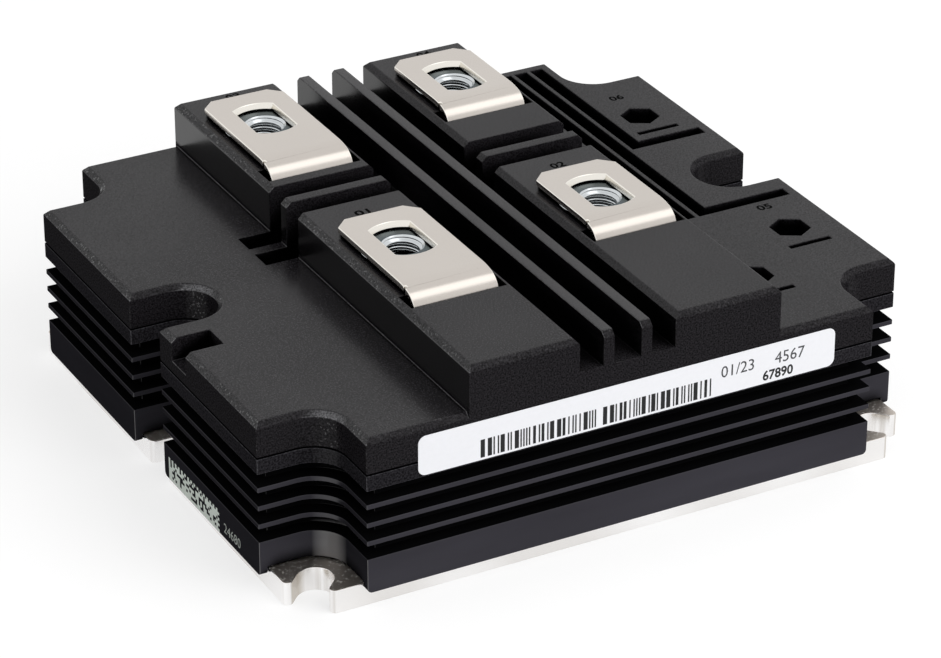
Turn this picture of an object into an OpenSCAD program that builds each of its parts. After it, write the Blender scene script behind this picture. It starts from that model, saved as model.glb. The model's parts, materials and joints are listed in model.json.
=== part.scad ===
/* [Envelope] */
// Length of the housing, along X
module_l = 140; // [130:1:170]
// Width of the housing, along Y
module_w = 130; // [122:1:160]

/* [Screw points] */
// Distance from the housing's edges to the screw centres
hole_edge = 8; // [7.5:0.1:9]
// Width of the open screw slots in the baseplate
slot_w = 7.2; // [5:0.1:8]
// Rounding of the two tips beside each slot
slot_tip_r = 1.1; // [0.5:0.1:1.4]
// Radius of the housing's notch around each screw
notch_r = 7; // [6.5:0.1:8]

/* [Baseplate] */
// Thickness of the baseplate
base_t = 5; // [3:0.1:8]
// Distance from the housing's sides in to the baseplate's edge
base_inset = 1.9; // [1.5:0.1:2.3]

/* [Frame] */
// Drop of the skirt's lip below the baseplate's upper face
lip_drop = 1.3; // [0.8:0.1:2]
// Gap between the lip and the baseplate's edge
lip_clear = 0.2; // [0.1:0.05:0.4]
// Rounding of the lip's lower corners
lip_corner_r = 1; // [0.3:0.1:1.2]
// Height of the skirt above the baseplate
skirt_h = 6.1; // [4:0.1:9]
// Number of creepage fins
fin_count = 3; // [2:1:4]
// Thickness of a fin
fin_t = 1.1; // [0.8:0.1:1.6]
// Open height between fins
fin_gap = 2.8; // [2:0.1:3.6]
// Depth of the gaps between fins
fin_depth = 3.1; // [2.4:0.1:3.6]
// Wall behind the fins
wall_t = 2.4; // [1.8:0.1:2.8]
// Height of the plain band above the fins
band_h = 3.25; // [2.4:0.05:5]

/* [Seals] */
// Thickness of the adhesive bead under the frame
base_seal_t = 0.4; // [0.2:0.05:0.8]
// Thickness of the adhesive bead under the lid
lid_seal_t = 0.3; // [0.2:0.05:0.6]
// Width of both beads
seal_w = 2.2; // [1.4:0.1:2.4]
// Setback of a bead from the edge that it follows
seal_setback = 0.6; // [0.3:0.1:0.8]

/* [Lid] */
// Height of the lid's deck above its lower edge
deck_h = 7.25; // [6.5:0.05:9]
// Thickness of the deck
deck_t = 2.8; // [2:0.1:3.4]
// Side wall of the lid
lid_wall_t = 3; // [3:0.1:4]
// Chamfer along the upper edges
edge_chamfer = 1.1; // [0.6:0.1:1.2]
// Height of the terminal blocks above the deck
block_h = 9.6; // [8:0.1:12]
// Side wall of a terminal block
block_wall_t = 1.8; // [1.6:0.1:2.4]
// Thickness of a terminal block's top
block_top_t = 2.8; // [2:0.1:4]
// Height of the trough floor between the blocks above the deck
trough_h = 2.6; // [1:0.1:4]
// Width of the two long ribs in the trough
rib_w = 2.35; // [1.6:0.05:3]
// Distance between the centres of the two long ribs
rib_pitch = 8.15; // [6:0.05:9]

/* [Channels between blocks] */
// Width of the gap between a front and a rear block
gap_w = 12.9; // [10:0.1:14]
// Wall between that gap and the rear terminal's slot
gap_wall_t = 2.85; // [2.2:0.05:4]
// Thickness of the rib in the gap
gap_rib_w = 2.6; // [1.6:0.1:3.4]
// Reach of the two channels beyond the block onto the deck
channel_reach = 7; // [5:0.1:8]

/* [Grooves] */
// Width of a groove in the right deck
groove_w = 2.85; // [2:0.05:3.2]
// Depth of the grooves and channels below the deck
groove_d = 5; // [3:0.1:5.4]
// Rib left between two grooves
groove_rib_w = 1; // [0.8:0.05:1.4]
// Land between a groove's end and the lid's edge
groove_edge = 3; // [2.6:0.1:4]
// Y of the rear branch's middle
rear_branch_y = 19.1; // [16:0.1:21]
// Y of the front branch's middle
front_branch_y = -14.1; // [-16:0.1:-12]
// Wall kept around grooves, channels and pockets under the deck
groove_wall_t = 1.6; // [1.2:0.1:2]

/* [Spare nut pockets] */
// Width across flats of a pocket
pocket_af = 7.2; // [5.5:0.1:8]
// Depth of a pocket
pocket_d = 4.5; // [3:0.1:5]
// Distance from the lid's right edge to the outer pockets
pocket_edge = 11; // [9:0.1:13]
// Y of the rear pocket
pocket_rear_y = 31.2; // [28:0.1:34]
// Y of the front pocket
pocket_front_y = -28.3; // [-31:0.1:-26]
// Distance from the block to the inner pocket
pocket_inner_gap = 7.7; // [6:0.1:9]
// Y of the inner pocket
pocket_inner_y = -42.6; // [-45:0.1:-39]
// Length of the slot in front of a pocket
pocket_slot_l = 9.6; // [6:0.1:11]
// Width of the slot in front of a pocket
pocket_slot_w = 1.2; // [0.8:0.1:2]
// Distance from a pocket's middle to its slot
pocket_slot_gap = 7.5; // [6:0.1:9]

/* [Keying cut] */
// Width of the cut in the lid's left edge, along Y
key_w = 6.3; // [4:0.1:8]
// Length of the cut, along X
key_l = 8.1; // [5:0.1:10]
// Depth of the cut below the deck
key_d = 4.8; // [3:0.1:5.4]
// Y of the cut's middle
key_y = -15.75; // [-18:0.05:-13]

/* [Terminals] */
// Distance between the left and right terminal screws
terminal_span = 44; // [40:0.5:50]
// Distance from a circuit row's middle back to its terminal screws
screw_offset = 14.75; // [13:0.05:16]
// Width of the terminal strip
strip_w = 18.2; // [14:0.1:20]
// Thickness of the terminal strip
strip_t = 1.2; // [0.8:0.1:1.5]
// Gap between a terminal block and the flap over it
flap_lift = 0.8; // [0.6:0.05:1.5]
// Outer radius of the bend at the flap's front end
bend_r = 4.5; // [3:0.1:5]
// Outer radius of the gentle droop before that bend
droop_r = 16; // [12:0.5:18]
// Angle of the droop
droop = 13; // [8:0.5:14]
// Length of the flap behind the screw
flap_tail = 12.5; // [10:0.1:14]
// Distance from the screw forward to a left terminal's leg
left_nose = 22.6; // [20:0.1:24]
// Distance from the screw forward to a right terminal's leg
right_nose = 14.8; // [14:0.1:16]
// Cut across the flap's free corners
flap_corner = 2.7; // [1:0.1:4]
// Diameter of the flap's screw hole
screw_hole_d = 14.6; // [11:0.1:15]
// Width of the screw hole between its two flats
screw_hole_w = 9; // [8.4:0.1:10]
// Width and depth of the relief nick at the bend's left end
nick = 0.6; // [0.3:0.1:0.9]
// Gap beside the strip in the block's slot
slot_side_clear = 1.1; // [0.8:0.1:1.3]
// Gap in front of the strip in the block's slot
slot_front_clear = 0.7; // [0.4:0.1:1.2]
// Gap beside the strip inside the block
leg_side_clear = 0.8; // [0.4:0.1:1.2]

/* [Terminal nuts] */
// Width across flats of a nut
nut_af = 13; // [11:0.1:14]
// Height of a nut
nut_h = 6.5; // [5:0.1:8]
// Minor diameter of the nut's thread
nut_bore_d = 6.65; // [5:0.05:8]
// Outer diameter of the countersink at the thread's mouth
nut_mouth_d = 8.6; // [8.1:0.1:9]
// Height of a nut above the block's top
nut_proud = 0.5; // [0.1:0.05:0.55]
// Gap around a nut in its pocket
nut_clear = 0.15; // [0.05:0.05:0.3]
// Diameter of the screw's blind hole under a nut
screw_well_d = 9; // [8.5:0.1:10]
// Depth of the screw's blind hole under a nut
screw_well_h = 8; // [4:0.1:9]
// Wall of the boss around a nut
boss_wall_t = 2; // [1.2:0.1:2.1]

/* [Power circuit] */
// Distance from the frame's side wall to a tile, along X
tile_side_x = 15.5; // [13.5:0.1:18]
// Distance from the frame's end wall to a tile, along Y
tile_side_y = 4.75; // [4:0.05:6]
// Gap between left and right tiles
tile_gap_x = 6; // [4:0.1:9]
// Gap between front and rear tiles
tile_gap_y = 13.5; // [11:0.1:15]
// Thickness of a ceramic tile
tile_t = 1; // [0.6:0.1:1.5]
// Thickness of the copper on both sides of a tile
copper_t = 0.3; // [0.2:0.05:0.5]
// Bare ceramic around the copper
copper_margin = 1.5; // [1:0.1:2]
// Gap between the copper pads
pad_gap = 3; // [2:0.1:3.2]
// Width of the copper strip that joins the two cathode fields
pad_link_w = 2; // [1.4:0.1:2.4]
// Copper left beside a terminal's foot
pad_land = 1.05; // [0.6:0.05:1.4]
// Side of a square diode chip
chip_l = 10; // [8:0.1:10.5]
// Thickness of a chip
chip_t = 0.4; // [0.2:0.05:0.6]
// Distance between chip columns
chip_pitch = 14; // [13:0.1:15]
// Gap between a chip and the foot or pad edge beside it
chip_gap = 0.6; // [0.4:0.05:1]
// Diameter of a bond wire
wire_d = 0.4; // [0.3:0.05:0.5]
// Distance between the bond wires on one chip
wire_pitch = 2.5; // [1.5:0.1:2.8]
// Distance from the chip's middle to where its wires start
wire_start = 1.5; // [0.5:0.1:3]
// Distance from the pad's edge to where the wires land
wire_land = 0.7; // [0.4:0.05:0.9]
// Width of a terminal's foot
foot_w = 4; // [3:0.1:5]
// Length of a terminal's foot
foot_l = 3.2; // [2.4:0.1:3.6]
// Height of the crossbar that joins a terminal's feet
bus_h = 7; // [4:0.1:8]
// Gap between the highest bond wire and the crossbars
bus_clear = 1.45; // [0.8:0.05:3]
// Depth of gel over the crossbars
gel_cover = 2; // [1:0.1:4]
// Gap around a tile in the gel
gel_clear = 0.2; // [0.1:0.05:0.5]

/* [Label] */
// Length of the front label
label_l = 90.6; // [60:0.1:104]
// Height of the front label
label_h = 8.3; // [6:0.1:8.8]
// Thickness of the front label
label_t = 0.15; // [0.1:0.05:0.3]
// Rounding of the label's corners
label_r = 1.6; // [0.5:0.1:3]
// Distance from the lid's middle to the label's middle, along X
label_x = 0.9; // [-3:0.1:3]
// Distance from the band's lower edge to the label's lower edge
label_z = 0.4; // [0.2:0.05:1]

/* [Hidden] */
$fn = 96;

// Levels, from the baseplate up
lip_z = base_t - lip_drop;
frame_z = base_t + base_seal_t;
skirt_z = base_t + skirt_h;
band_z = skirt_z + fin_count * (fin_gap + fin_t) + fin_gap;
frame_top_z = band_z + band_h;
lid_z = frame_top_z + lid_seal_t;
deck_z = lid_z + deck_h;
block_z = deck_z + block_h;
trough_z = deck_z + trough_h;
flap_z = block_z + flap_lift;
flap_top_z = flap_z + strip_t;
droop_start = bend_r * (1 - sin(droop)) + droop_r * sin(droop);
bend_drop = droop_r * (1 - cos(droop)) + bend_r * cos(droop);
groove_z = deck_z - groove_d;
under_deck_z = deck_z - deck_t;

// Screw points and the insets of the frame's cavity
hole_x = module_l / 2 - hole_edge;
hole_y = module_w / 2 - hole_edge;
cavity_inset = fin_depth + wall_t;
past = 2 * hole_edge;
over = 1;

// Circuit rows and columns
tile_l = module_l / 2 - cavity_inset - tile_side_x - tile_gap_x / 2;
tile_w = module_w / 2 - cavity_inset - tile_side_y - tile_gap_y / 2;
tile_x = (tile_l + tile_gap_x) / 2;
tile_y = (tile_w + tile_gap_y) / 2;
ROWS = [["front", -1], ["rear", 1]];
COLUMNS = [["left", -1], ["right", 1]];
TILES = [for (row = ROWS, col = COLUMNS)
    [str(row[0], "_", col[0]), col[1] * tile_x, row[1] * tile_y]];

// Terminals, in the frame of one circuit row
terminal_x = terminal_span / 2;
cathode_y = screw_offset - left_nose;
anode_y = screw_offset - right_nose;

// Terminal blocks and the gap between them
block_in = terminal_x - strip_w / 2 - leg_side_clear - block_wall_t;
block_out = terminal_x + strip_w / 2 + leg_side_clear + block_wall_t;
gap_rear = tile_y + cathode_y - slot_front_clear - gap_wall_t;
gap_front = gap_rear - gap_w;
channel_w = (gap_w - gap_rib_w) / 2;
channel_out = block_out + channel_reach;
slot_back_clear = bend_r;

// Grooves of the right deck
groove_1 = channel_out + groove_rib_w;
groove_2 = groove_1 + groove_w + groove_rib_w;
groove_3 = groove_2 + groove_w + groove_rib_w;
groove_right = module_l / 2 - groove_edge;
groove_back = module_w / 2 - groove_edge;
front_branch_0 = front_branch_y - groove_w / 2;
rear_branch_0 = rear_branch_y - groove_w / 2;
GROOVES = [
    [groove_1, front_branch_0, groove_1 + groove_w, groove_back],
    [groove_2, front_branch_0, groove_2 + groove_w, groove_back],
    [groove_2, front_branch_0, groove_right, front_branch_0 + groove_w],
    [groove_3, rear_branch_0, groove_3 + groove_w, groove_back],
    [groove_3, rear_branch_0, groove_right, rear_branch_0 + groove_w]];
POCKETS = [
    [module_l / 2 - pocket_edge, pocket_rear_y],
    [module_l / 2 - pocket_edge, pocket_front_y],
    [block_out + pocket_inner_gap, pocket_inner_y]];

// Nuts
nut_z = block_z + nut_proud - nut_h;
nut_corner_r = nut_af / 2 / cos(30);
well_z = nut_z - screw_well_h;
boss_r = nut_corner_r + nut_clear + boss_wall_t;
boss_room_r = (boss_r + strip_w / 2 + leg_side_clear) / 2;

// Copper, chips and wires, from the baseplate up and in one row's frame
ceramic_z = base_t + copper_t;
circuit_z = ceramic_z + tile_t;
pad_z = circuit_z + copper_t;
chip_z = pad_z + chip_t;
copper_l = tile_l - 2 * copper_margin;
copper_w = tile_w - 2 * copper_margin;
cathode_edge = cathode_y + strip_t + pad_land;
anode_front = cathode_edge + pad_gap;
anode_rear = anode_y + foot_l + 2 * pad_land;
cathode_rear = anode_rear + pad_gap;
front_chip_y = cathode_y + strip_t - foot_l - chip_gap - chip_l / 2;
rear_chip_y = cathode_rear + chip_gap + chip_l / 2;
WIRES = [
    [front_chip_y + wire_start, anode_front + wire_land],
    [rear_chip_y - wire_start, anode_rear - wire_land]];
arch_top_z = chip_z + (WIRES[0][1] - WIRES[0][0]) / 2 + wire_d / 2;
bus_z = arch_top_z + bus_clear;
bus_top_z = bus_z + bus_h;
bus_half = tile_x + (chip_pitch + foot_w) / 2;
gel_z = bus_top_z + gel_cover;

TILE_PARTS = ["backside_copper", "ceramic_tile", "circuit_copper", "diode_chips", "bond_wires"];

// Copies the children to the four corners
module at_corners() {
    for (sx = [0, 1], sy = [0, 1])
        mirror([sx, 0, 0]) mirror([0, sy, 0]) translate([hole_x, hole_y, 0]) children();
}

// Copies the children to the middle of the left and right sides
module at_sides() {
    for (sx = [0, 1])
        mirror([sx, 0, 0]) translate([hole_x, 0, 0]) children();
}

// Copies the children to the four terminal screws
module at_screws() {
    for (sx = [-1, 1], sy = [-1, 1])
        translate([sx * terminal_x, sy * tile_y + screw_offset, 0]) children();
}

// Square with one corner at the low point and the other at the high point
module span(low, high) {
    translate(low) square(high - low);
}

// Outline of the housing with its six notches, moved in by inset
module plan(inset) {
    r = notch_r + inset;
    difference() {
        square([module_l - 2 * inset, module_w - 2 * inset], center = true);
        at_corners() {
            circle(r);
            span([-r, 0], [past, past]);
            span([0, -r], [past, past]);
        }
        at_sides() {
            circle(r);
            span([0, -r], [past, r]);
        }
    }
}

// Band between two insets of the housing's outline
module ring(outer, inner, low, high) {
    translate([0, 0, low]) linear_extrude(high - low) difference() {
        plan(outer);
        plan(inner);
    }
}

// Bar along X that cuts a chamfer into an edge on its middle line
module chamfer_bar(length) {
    rotate([45, 0, 0]) cube([length, edge_chamfer * sqrt(2), edge_chamfer * sqrt(2)], center = true);
}

// Ring sector that cuts the same chamfer into a notch's round edge
module chamfer_arc(start, angle) {
    rotate([0, 0, start]) rotate_extrude(angle = angle)
        translate([notch_r, 0]) rotate(45) square(edge_chamfer * sqrt(2), center = true);
}

// Cutters for the chamfer along the whole outline of the deck
module outline_chamfer() {
    for (side = [-1, 1]) {
        translate([0, side * module_w / 2, 0]) chamfer_bar(2 * module_l);
        translate([side * module_l / 2, 0, 0]) rotate([0, 0, 90]) chamfer_bar(2 * module_w);
    }
    at_corners() {
        chamfer_arc(180, 90);
        translate([past / 2, -notch_r, 0]) chamfer_bar(past);
        translate([-notch_r, past / 2, 0]) rotate([0, 0, 90]) chamfer_bar(past);
    }
    at_sides() {
        chamfer_arc(90, 180);
        for (side = [-1, 1])
            translate([past / 2, side * notch_r, 0]) chamfer_bar(past);
    }
}

// Cutter that rounds the tip between an edge along +X and a slot wall at the given angle from it
module tip_rounding(angle) {
    middle = [slot_tip_r / tan(angle / 2), slot_tip_r];
    side = slot_tip_r + over;
    difference() {
        polygon([middle, middle - [0, side], -2 * over * [cos(angle / 2), sin(angle / 2)],
            middle + side * [-sin(angle), cos(angle)]]);
        translate(middle) circle(slot_tip_r, $fn = 48);
    }
}

// Open slot for a base screw at the origin, towards +X
module screw_slot() {
    circle(d = slot_w);
    span([0, -slot_w / 2], [past, slot_w / 2]);
}

// Nickel-plated plate with open screw slots at its corners and at the middle of two sides
module baseplate() {
    edge = hole_edge - base_inset;
    half_mouth = slot_w / sqrt(2);
    color("gainsboro") linear_extrude(base_t) difference() {
        square([module_l - 2 * base_inset, module_w - 2 * base_inset], center = true);
        at_corners() {
            rotate(45) screw_slot();
            translate([edge, edge - half_mouth]) rotate(-90) mirror([0, 1]) tip_rounding(45);
            translate([edge - half_mouth, edge]) rotate(180) tip_rounding(45);
        }
        at_sides() {
            screw_slot();
            translate([edge, slot_w / 2]) rotate(90) tip_rounding(90);
            translate([edge, -slot_w / 2]) mirror([0, 1]) rotate(90) tip_rounding(90);
        }
    }
}

// Adhesive bead between the baseplate and the frame
module base_seal() {
    inset = base_inset + seal_setback;
    color("dimgray") ring(inset, inset + seal_w, base_t, frame_z);
}

// Rounding cut at one lower corner of the lip, at the end of an edge that runs along +X
module lip_corner() {
    translate([0, -past / 2, lip_z]) difference() {
        translate([-over, 0, -over]) cube([over + lip_corner_r, past, over + lip_corner_r]);
        translate([lip_corner_r, -over, lip_corner_r]) rotate([-90, 0, 0])
            cylinder(r = lip_corner_r, h = past + 2 * over, $fn = 48);
    }
}

// Lip that hangs from the skirt over the baseplate's edge
module lip() {
    inner = base_inset - lip_clear;
    difference() {
        translate([0, 0, lip_z]) linear_extrude(frame_z - lip_z) difference() {
            plan(0);
            square([module_l - 2 * inner, module_w - 2 * inner], center = true);
        }
        at_corners() {
            translate([-notch_r, hole_edge, 0]) mirror([1, 0, 0]) lip_corner();
            translate([hole_edge, -notch_r, 0]) rotate([0, 0, -90]) lip_corner();
        }
        at_sides()
            for (side = [-1, 1])
                translate([hole_edge, side * notch_r, 0]) rotate([0, 0, side * 90]) lip_corner();
    }
}

// Moulded frame: lip, skirt, creepage fins and upper band around one open cavity
module housing_frame() {
    color("#1c1c1f") {
        lip();
        ring(0, cavity_inset, frame_z, skirt_z);
        ring(fin_depth, cavity_inset, skirt_z, band_z);
        for (i = [1 : fin_count])
            ring(0, cavity_inset, skirt_z + i * (fin_gap + fin_t) - fin_t, skirt_z + i * (fin_gap + fin_t));
        ring(0, cavity_inset, band_z, frame_top_z);
    }
}

// Adhesive bead between the frame and the lid, set back so that the parting line shows as a groove
module lid_seal() {
    color("dimgray") ring(seal_setback, seal_setback + seal_w, frame_top_z, lid_z);
}

// Left and right raised areas: copies the children to the left side of the lid too
module both_sides() {
    for (sx = [0, 1])
        mirror([sx, 0, 0]) children();
}

// Raised box along the full width of the lid, with chamfered top edges
module raised(x0, x1, side_chamfers) {
    difference() {
        translate([x0, -module_w / 2, lid_z]) cube([x1 - x0, module_w, block_z - lid_z]);
        for (side = [-1, 1])
            translate([0, side * module_w / 2, block_z]) chamfer_bar(2 * module_l);
        if (side_chamfers)
            for (x = [x0, x1])
                translate([x, 0, block_z]) rotate([0, 0, 90]) chamfer_bar(2 * module_w);
    }
}

// Rib that stands in the gap between a front and a rear block, on the right side
module gap_rib() {
    middle = (gap_front + gap_rear) / 2;
    difference() {
        translate([block_in, middle - gap_rib_w / 2, groove_z])
            cube([block_out - block_in, gap_rib_w, block_z - groove_z]);
        for (x = [block_in, block_out])
            translate([x, middle, block_z]) rotate([0, 0, 90]) chamfer_bar(2 * gap_rib_w);
    }
}

// Outline of the gap between the blocks and its two channels on the right deck, grown by a wall
module channel_plan(grow) {
    span([block_in - grow, gap_front - grow], [block_out, gap_rear + grow]);
    for (y = [gap_front, gap_rear - channel_w])
        span([block_out - over, y - grow], [channel_out + grow, y + channel_w + grow]);
}

// Outline of the grooves in the right deck, grown by a wall
module groove_plan(grow) {
    for (g = GROOVES)
        span([g[0] - grow, g[1] - grow], [g[2] + grow, g[3] + grow]);
}

// Outline of the spare nut pockets and their slots, grown by a wall
module pocket_plan(grow) {
    for (p = POCKETS)
        translate(p) {
            rotate(30) circle(d = pocket_af / cos(30) + 2 * grow, $fn = 6);
            translate([0, -pocket_slot_gap])
                square([pocket_slot_l + 2 * grow, pocket_slot_w + 2 * grow], center = true);
        }
}

// Outline of the keying cut in the left edge, grown by a wall
module key_plan(grow) {
    low = key_y - key_w / 2 - grow;
    span([-module_l / 2 - over, low], [-module_l / 2 + key_l + grow, low + key_w + 2 * grow]);
}

// Boss that carries a nut, down from the block's top
module nut_boss() {
    low = well_z - boss_wall_t;
    translate([0, 0, low]) cylinder(r = boss_r, h = block_z - low);
}

// Space inside the lid, open below
module lid_cavity() {
    difference() {
        union() {
            translate([0, 0, lid_z - over]) linear_extrude(under_deck_z - lid_z + over) plan(lid_wall_t);
            both_sides() translate([0, 0, lid_z - over]) linear_extrude(block_z - block_top_t - lid_z + over)
                span([block_in + block_wall_t, -module_w / 2 + lid_wall_t],
                     [block_out - block_wall_t, module_w / 2 - lid_wall_t]);
        }
        translate([0, 0, lid_z]) linear_extrude(block_h + deck_h) {
            both_sides() channel_plan(groove_wall_t);
            groove_plan(groove_wall_t);
            pocket_plan(groove_wall_t);
            key_plan(groove_wall_t);
        }
        at_screws() nut_boss();
    }
}

// Slot in a block's top for a terminal's leg, with the leg's front face at y = 0
module leg_slot() {
    translate([-strip_w / 2 - slot_side_clear, -slot_front_clear, block_z - block_top_t - over])
        cube([strip_w + 2 * slot_side_clear, slot_front_clear + slot_back_clear, block_top_t + 2 * over]);
}

// Whole lid: deck, four terminal blocks, trough with two long ribs, channels, grooves and pockets
module lid_moulding() {
    difference() {
        union() {
            difference() {
                translate([0, 0, lid_z]) linear_extrude(deck_h) plan(0);
                translate([0, 0, deck_z]) outline_chamfer();
            }
            translate([-block_in - over, -module_w / 2, lid_z])
                cube([2 * (block_in + over), module_w, trough_z - lid_z]);
            both_sides() {
                raised(block_in, block_out, true);
                raised((rib_pitch - rib_w) / 2, (rib_pitch + rib_w) / 2, false);
            }
        }
        lid_cavity();
        both_sides() translate([0, 0, groove_z]) linear_extrude(block_z) channel_plan(0);
        translate([0, 0, groove_z]) linear_extrude(groove_d + over) groove_plan(0);
        translate([0, 0, deck_z - pocket_d]) linear_extrude(pocket_d + over) pocket_plan(0);
        translate([0, 0, deck_z - key_d]) linear_extrude(key_d + over) key_plan(0);
        at_screws() {
            translate([0, 0, nut_z])
                cylinder(r = nut_corner_r + nut_clear / cos(30), h = nut_h + over, $fn = 6);
            translate([0, 0, well_z]) cylinder(d = screw_well_d, h = nut_h);
        }
        for (row = ROWS) {
            translate([-terminal_x, row[1] * tile_y + cathode_y, 0]) leg_slot();
            translate([terminal_x, row[1] * tile_y + anode_y, 0]) leg_slot();
        }
    }
    both_sides() gap_rib();
}

// Room above the deck, over a plan given by two corners
module above_deck(low, high) {
    translate([0, 0, deck_z]) linear_extrude(block_h + over) span(low, high);
}

// Room of a terminal block on the right side, with its nut's boss below the deck
module block_room(row) {
    low = row[1] < 0 ? -module_w / 2 - over : gap_rear;
    high = row[1] < 0 ? gap_front : module_w / 2 + over;
    above_deck([block_in, low], [block_out, high]);
    translate([terminal_x, row[1] * tile_y + screw_offset, lid_z]) cylinder(r = boss_room_r, h = deck_h);
}

// Lower part of the lid: deck with screw notches, channels, grooves, pockets and keying cut
module housing_lid() {
    color("#232326") difference() {
        lid_moulding();
        above_deck([-module_l, -module_w], [module_l, module_w]);
        both_sides() {
            for (row = ROWS)
                block_room(row);
        }
    }
}

// One terminal block of the lid, with its nut pocket and leg slot
module terminal_block(row, side) {
    color("#232326") intersection() {
        lid_moulding();
        mirror([side < 0 ? 1 : 0, 0, 0]) block_room(row);
    }
}

// Trough of the lid between the left and right blocks, with its two long ribs
module lid_trough() {
    color("#232326") intersection() {
        lid_moulding();
        above_deck([-block_in, -module_w], [block_in, module_w]);
    }
}

// Ribs of the lid in the gaps between front and rear blocks
module gap_ribs() {
    color("#232326") both_sides() intersection() {
        gap_rib();
        above_deck([block_in, gap_front], [block_out, gap_rear]);
    }
}

// Four hexagon nuts in the block tops, with chamfered corners and countersunk threads
module terminal_nuts() {
    crown = nut_corner_r - nut_af / 2;
    color("silver") at_screws() translate([0, 0, nut_z]) difference() {
        intersection() {
            cylinder(r = nut_corner_r, h = nut_h, $fn = 6);
            rotate_extrude() polygon([[0, 0], [nut_af / 2, 0], [nut_corner_r, crown / 2],
                [nut_corner_r, nut_h - crown / 2], [nut_af / 2, nut_h], [0, nut_h]]);
        }
        translate([0, 0, -over]) cylinder(d = nut_bore_d, h = nut_h + 2 * over);
        for (end = [0, 1])
            translate([0, 0, end * nut_h]) mirror([0, 0, end])
                cylinder(d1 = nut_mouth_d, d2 = nut_bore_d, h = (nut_mouth_d - nut_bore_d) / 2);
    }
}

// Points of an arc after its first one; the angles go from upright towards -Y
function arc(middle, r, from, to, steps) =
    [for (i = [1 : steps])
        let (angle = from + (to - from) * i / steps)
        middle + r * [-sin(angle), cos(angle)]];

// Side of a terminal strip from the flap's free end, over the droop and the bend, down to the crossbar,
// with the leg's front face at 0
module strip_side(tail) {
    droop_mid = [droop_start, flap_top_z - droop_r];
    bend_mid = [bend_r, flap_top_z - bend_drop];
    polygon(concat(
        [[tail, flap_z], [tail, flap_top_z], [droop_start, flap_top_z]],
        arc(droop_mid, droop_r, 0, droop, 6),
        arc(bend_mid, bend_r, droop, 90, 22),
        [[0, bus_top_z], [strip_t, bus_top_z], [strip_t, bend_mid[1]]],
        arc(bend_mid, bend_r - strip_t, 90, droop, 22),
        arc(droop_mid, droop_r - strip_t, droop, 0, 6)));
}

// Cuts through a flap seen from above: free corners, screw hole at nose and relief nick
module flap_cuts(nose) {
    tail = nose + flap_tail;
    half = strip_w / 2;
    for (side = [-1, 1])
        polygon([[side * (half - flap_corner - over), tail + over], [side * (half + over), tail + over],
            [side * (half + over), tail - flap_corner - over]]);
    translate([0, nose]) intersection() {
        circle(d = screw_hole_d);
        square([screw_hole_w, screw_hole_d], center = true);
    }
    translate([-half - over, bend_r - nick / 2]) square([over + nick, nick]);
}

// Bent sheet of one terminal: flap, bend, leg, crossbar and four feet; x is the leg's place,
// nose the distance from leg to screw and foot_side the way the feet point
module terminal(x, y, nose, foot_side) {
    foot_y = foot_side > 0 ? 0 : strip_t - foot_l;
    translate([x, y, 0]) difference() {
        translate([-strip_w / 2, 0, 0]) rotate([90, 0, 90])
            linear_extrude(strip_w) strip_side(nose + flap_tail);
        translate([0, 0, block_z]) linear_extrude(flap_top_z - block_z + over) flap_cuts(nose);
    }
    translate([-bus_half, y, bus_z]) cube([2 * bus_half, strip_t, bus_h]);
    for (tile = [-1, 1], gap = [-1, 1])
        translate([tile * tile_x + gap * chip_pitch / 2 - foot_w / 2, y, pad_z]) {
            cube([foot_w, strip_t, bus_z - pad_z]);
            translate([0, foot_y, 0]) cube([foot_w, foot_l, strip_t]);
        }
}

// Left terminal of a row, which carries the cathode fields
module cathode_terminal(row) {
    color("#c3bbb2") terminal(-terminal_x, row[1] * tile_y + cathode_y, left_nose, -1);
}

// Right terminal of a row, which carries the anode fields
module anode_terminal(row) {
    color("#c3bbb2") terminal(terminal_x, row[1] * tile_y + anode_y, right_nose, 1);
}

// Places the children on one tile
module on_tile(tile, z) {
    translate([tile[1], tile[2], z]) children();
}

// Copper that solders a tile to the baseplate
module backside_copper(tile) {
    color("peru") on_tile(tile, base_t + copper_t / 2) cube([copper_l, copper_w, copper_t], center = true);
}

// Insulating ceramic plate
module ceramic_tile(tile) {
    color("ivory") on_tile(tile, ceramic_z + tile_t / 2) cube([tile_l, tile_w, tile_t], center = true);
}

// Circuit copper of one tile: the cathode field around three sides and the anode pad inside it
module circuit_copper(tile) {
    half_l = copper_l / 2;
    half_w = copper_w / 2;
    link = half_l - pad_link_w;
    color("peru") on_tile(tile, circuit_z) linear_extrude(copper_t) {
        span([-half_l, -half_w], [half_l, cathode_edge]);
        span([-half_l, cathode_rear], [half_l, half_w]);
        span([link, cathode_edge - over], [half_l, cathode_rear + over]);
        span([-half_l, anode_front], [link - pad_link_w, anode_rear]);
    }
}

// Copies the children to the chips of one row on a tile
module at_chips(y) {
    for (i = [-1, 0, 1])
        translate([i * chip_pitch, y, 0]) children();
}

// Six diode chips of one tile
module diode_chips(tile) {
    color("slategray") on_tile(tile, pad_z + chip_t / 2)
        for (y = [front_chip_y, rear_chip_y])
            at_chips(y) cube([chip_l, chip_l, chip_t], center = true);
}

// One bond wire: an arch from the chip at y = start to the pad at y = end
module bond_wire(start, end) {
    arch_r = abs(end - start) / 2;
    translate([0, (start + end) / 2, chip_z]) rotate([90, 0, 90])
        rotate_extrude(angle = 180) translate([arch_r, 0]) circle(d = wire_d, $fn = 24);
    translate([0, end, pad_z]) cylinder(d = wire_d, h = chip_t, $fn = 24);
}

// Three bond wires from each chip of one tile to the anode pad
module bond_wires(tile) {
    color("lightgray") on_tile(tile, 0)
        for (wire = WIRES, i = [-1, 0, 1])
            at_chips(0) translate([i * wire_pitch, 0, 0]) bond_wire(wire[0], wire[1]);
}

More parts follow.
